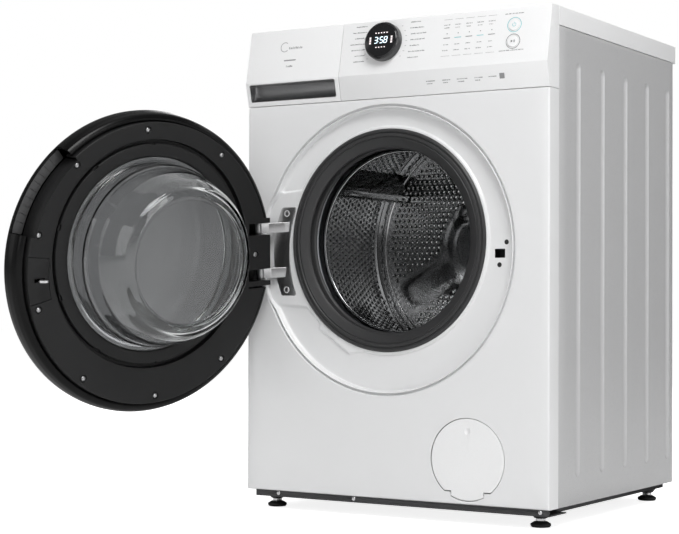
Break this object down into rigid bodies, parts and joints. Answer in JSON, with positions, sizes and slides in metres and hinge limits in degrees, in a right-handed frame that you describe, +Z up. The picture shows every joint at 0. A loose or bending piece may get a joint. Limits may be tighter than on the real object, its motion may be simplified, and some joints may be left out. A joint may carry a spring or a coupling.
{
  "type": "front load washing machine",
  "caption": "Freestanding front-loading washing machine with an open round glass door, stainless drum, slanted control panel, rotary dial and detergent drawer.",
  "frame": {"origin": "centre of the cabinet footprint on the floor", "axes": "+X to the right as seen from the front, +Y to the rear, +Z up; the front faces -Y"},
  "size_m": [0.7398, 1.0619, 0.855],
  "materials": {
    "white_paint": "gloss white powder coat",
    "grey_paint": "satin light grey coat",
    "galvanised": "spangled zinc",
    "white_plastic": "polished white",
    "dark_base": "moulded dark grey",
    "housing_plastic": "satin off-white",
    "gasket_rubber": "smooth grey rubber",
    "drum_steel": "polished perforated stainless",
    "bright_steel": "zinc plated",
    "hinge_steel": "satin cast metal",
    "door_black": "gloss black",
    "door_grey": "satin dark grey",
    "door_glass": "clear pressed glass",
    "door_window": "dark tinted window",
    "black_plastic": "moulded black",
    "dial_black": "gloss black",
    "display": "black display glass",
    "tub_plastic": "filled polypropylene",
    "cast_weight": "rough cast",
    "motor_metal": "die-cast",
    "spider_metal": "as-cast",
    "belt_rubber": "ribbed",
    "board": "circuit board in a tray",
    "foot_rubber": "moulded black"
  },
  "bodies": {
    "root": {"side_panel_left": "grey_paint", "side_panel_right": "grey_paint", "front_panel": "white_paint", "door_recess": "white_paint", "rear_panel": "galvanised", "rear_cover": "galvanised", "top_cover": "white_plastic", "base_frame": "dark_base", "control_fascia": "white_plastic", "drawer_housing": "housing_plastic", "display_lens": "display", "control_board": "board", "hinge_bracket": "hinge_steel", "cabinet_screws": "bright_steel", "door_lock": "black_plastic", "gasket": "gasket_rubber", "filter_recess": "housing_plastic", "drain_pump": "housing_plastic", "foot_lock_nuts": "bright_steel", "spring_beam": "galvanised", "suspension_springs": "bright_steel", "damper_cylinders": "black_plastic", "inlet_valve": "housing_plastic", "drain_outlet": "dark_base", "cable_gland": "black_plastic", "transit_caps": "housing_plastic"},
    "tub": {"tub_front": "tub_plastic", "tub_rear": "tub_plastic", "front_counterweights": "cast_weight", "top_counterweight": "cast_weight", "bearings": "bright_steel", "drive_motor": "motor_metal", "damper_rods": "bright_steel", "drive_belt": "belt_rubber"},
    "drum": {"drum_shell": "drum_steel", "drum_front": "drum_steel", "drum_back": "drum_steel", "lifters": "drum_steel", "drum_spider": "spider_metal", "drum_shaft": "bright_steel", "drum_pulley": "spider_metal"},
    "rotor": {"motor_pulley": "bright_steel"},
    "door": {"door_shell": "door_black", "door_window": "door_window", "door_frame": "door_grey", "glass_clamp_ring": "door_grey", "door_glass": "door_glass", "latch_housing": "black_plastic", "door_screws": "bright_steel", "hinge_pins": "bright_steel"},
    "hook": {"latch_hook": "bright_steel"},
    "dial": {"selector_knob": "dial_black"},
    "power": {"power_button": "white_plastic"},
    "start": {"start_button": "white_plastic"},
    "drawer": {"drawer_front": "white_plastic", "drawer_tray": "housing_plastic"},
    "flap": {"filter_flap": "white_plastic"},
    "cap": {"filter_cap": "housing_plastic"},
    "foot_fl": {"foot_front_left": "foot_rubber"},
    "foot_fr": {"foot_front_right": "foot_rubber"},
    "foot_rl": {"foot_rear_left": "foot_rubber"},
    "foot_rr": {"foot_rear_right": "foot_rubber"}
  },
  "joints": [
    {"name": "door_hinge", "type": "hinge", "parent": "root", "child": "door", "pos_m": [-0.256, -0.297, 0.4585], "axis": [0, -0.1045, 0.9945], "range_deg": [-3, 109]},
    {"name": "hook_pivot", "type": "hinge", "parent": "door", "child": "hook", "pos_m": [-0.3874, -0.7274, 0.40287], "axis": [0.0988, -0.1378, 0.9855], "range_deg": [0, 7], "stiffness_Nm_per_rad": 0.4, "springref_deg": -2.86},
    {"name": "drawer_slide", "type": "slide", "parent": "root", "child": "drawer", "axis": [0, -1, 0], "range_m": [0, 0.165]},
    {"name": "dial_turn", "type": "hinge", "parent": "root", "child": "dial", "pos_m": [-0.013, -0.27198, 0.814], "axis": [0, -0.9816, 0.1911], "continuous": true},
    {"name": "power_press", "type": "slide", "parent": "root", "child": "power", "axis": [0, 0.9816, -0.1911], "range_m": [0, 0.0012], "stiffness_N_per_m": 900, "springref_m": -0.0012},
    {"name": "start_press", "type": "slide", "parent": "root", "child": "start", "axis": [0, 0.9816, -0.1911], "range_m": [0, 0.0012], "stiffness_N_per_m": 900, "springref_m": -0.0012},
    {"name": "flap_hinge", "type": "hinge", "parent": "root", "child": "flap", "pos_m": [0.149, -0.2686, 0.0495], "axis": [1, 0, 0], "range_deg": [0, 90]},
    {"name": "filter_turn", "type": "hinge", "parent": "root", "child": "cap", "pos_m": [0.149, -0.243, 0.1075], "axis": [0, -1, 0], "range_deg": [0, 120]},
    {"name": "tub_bounce", "type": "slide", "parent": "root", "child": "tub", "axis": [0, 0, 1], "range_m": [-0.006, 0.006], "stiffness_N_per_m": 24000, "springref_m": 0.02338, "deforming": ["suspension_springs", "gasket"]},
    {"name": "drum_spin", "type": "hinge", "parent": "tub", "child": "drum", "pos_m": [-0.014, 0, 0.475], "axis": [0, 1, 0], "continuous": true},
    {"name": "motor_spin", "type": "hinge", "parent": "tub", "child": "rotor", "pos_m": [0.11, 0.212, 0.165], "axis": [0, 1, 0], "continuous": true},
    {"name": "foot_fl_height", "type": "slide", "parent": "root", "child": "foot_fl", "axis": [0, 0, -1], "range_m": [0, 0.012]},
    {"name": "foot_fr_height", "type": "slide", "parent": "root", "child": "foot_fr", "axis": [0, 0, -1], "range_m": [0, 0.012]},
    {"name": "foot_rl_height", "type": "slide", "parent": "root", "child": "foot_rl", "axis": [0, 0, -1], "range_m": [0, 0.012]},
    {"name": "foot_rr_height", "type": "slide", "parent": "root", "child": "foot_rr", "axis": [0, 0, -1], "range_m": [0, 0.012]}
  ],
  "couplings": [
    {"joint": "motor_spin", "follows": "drum_spin", "ratio": 14}
  ]
}
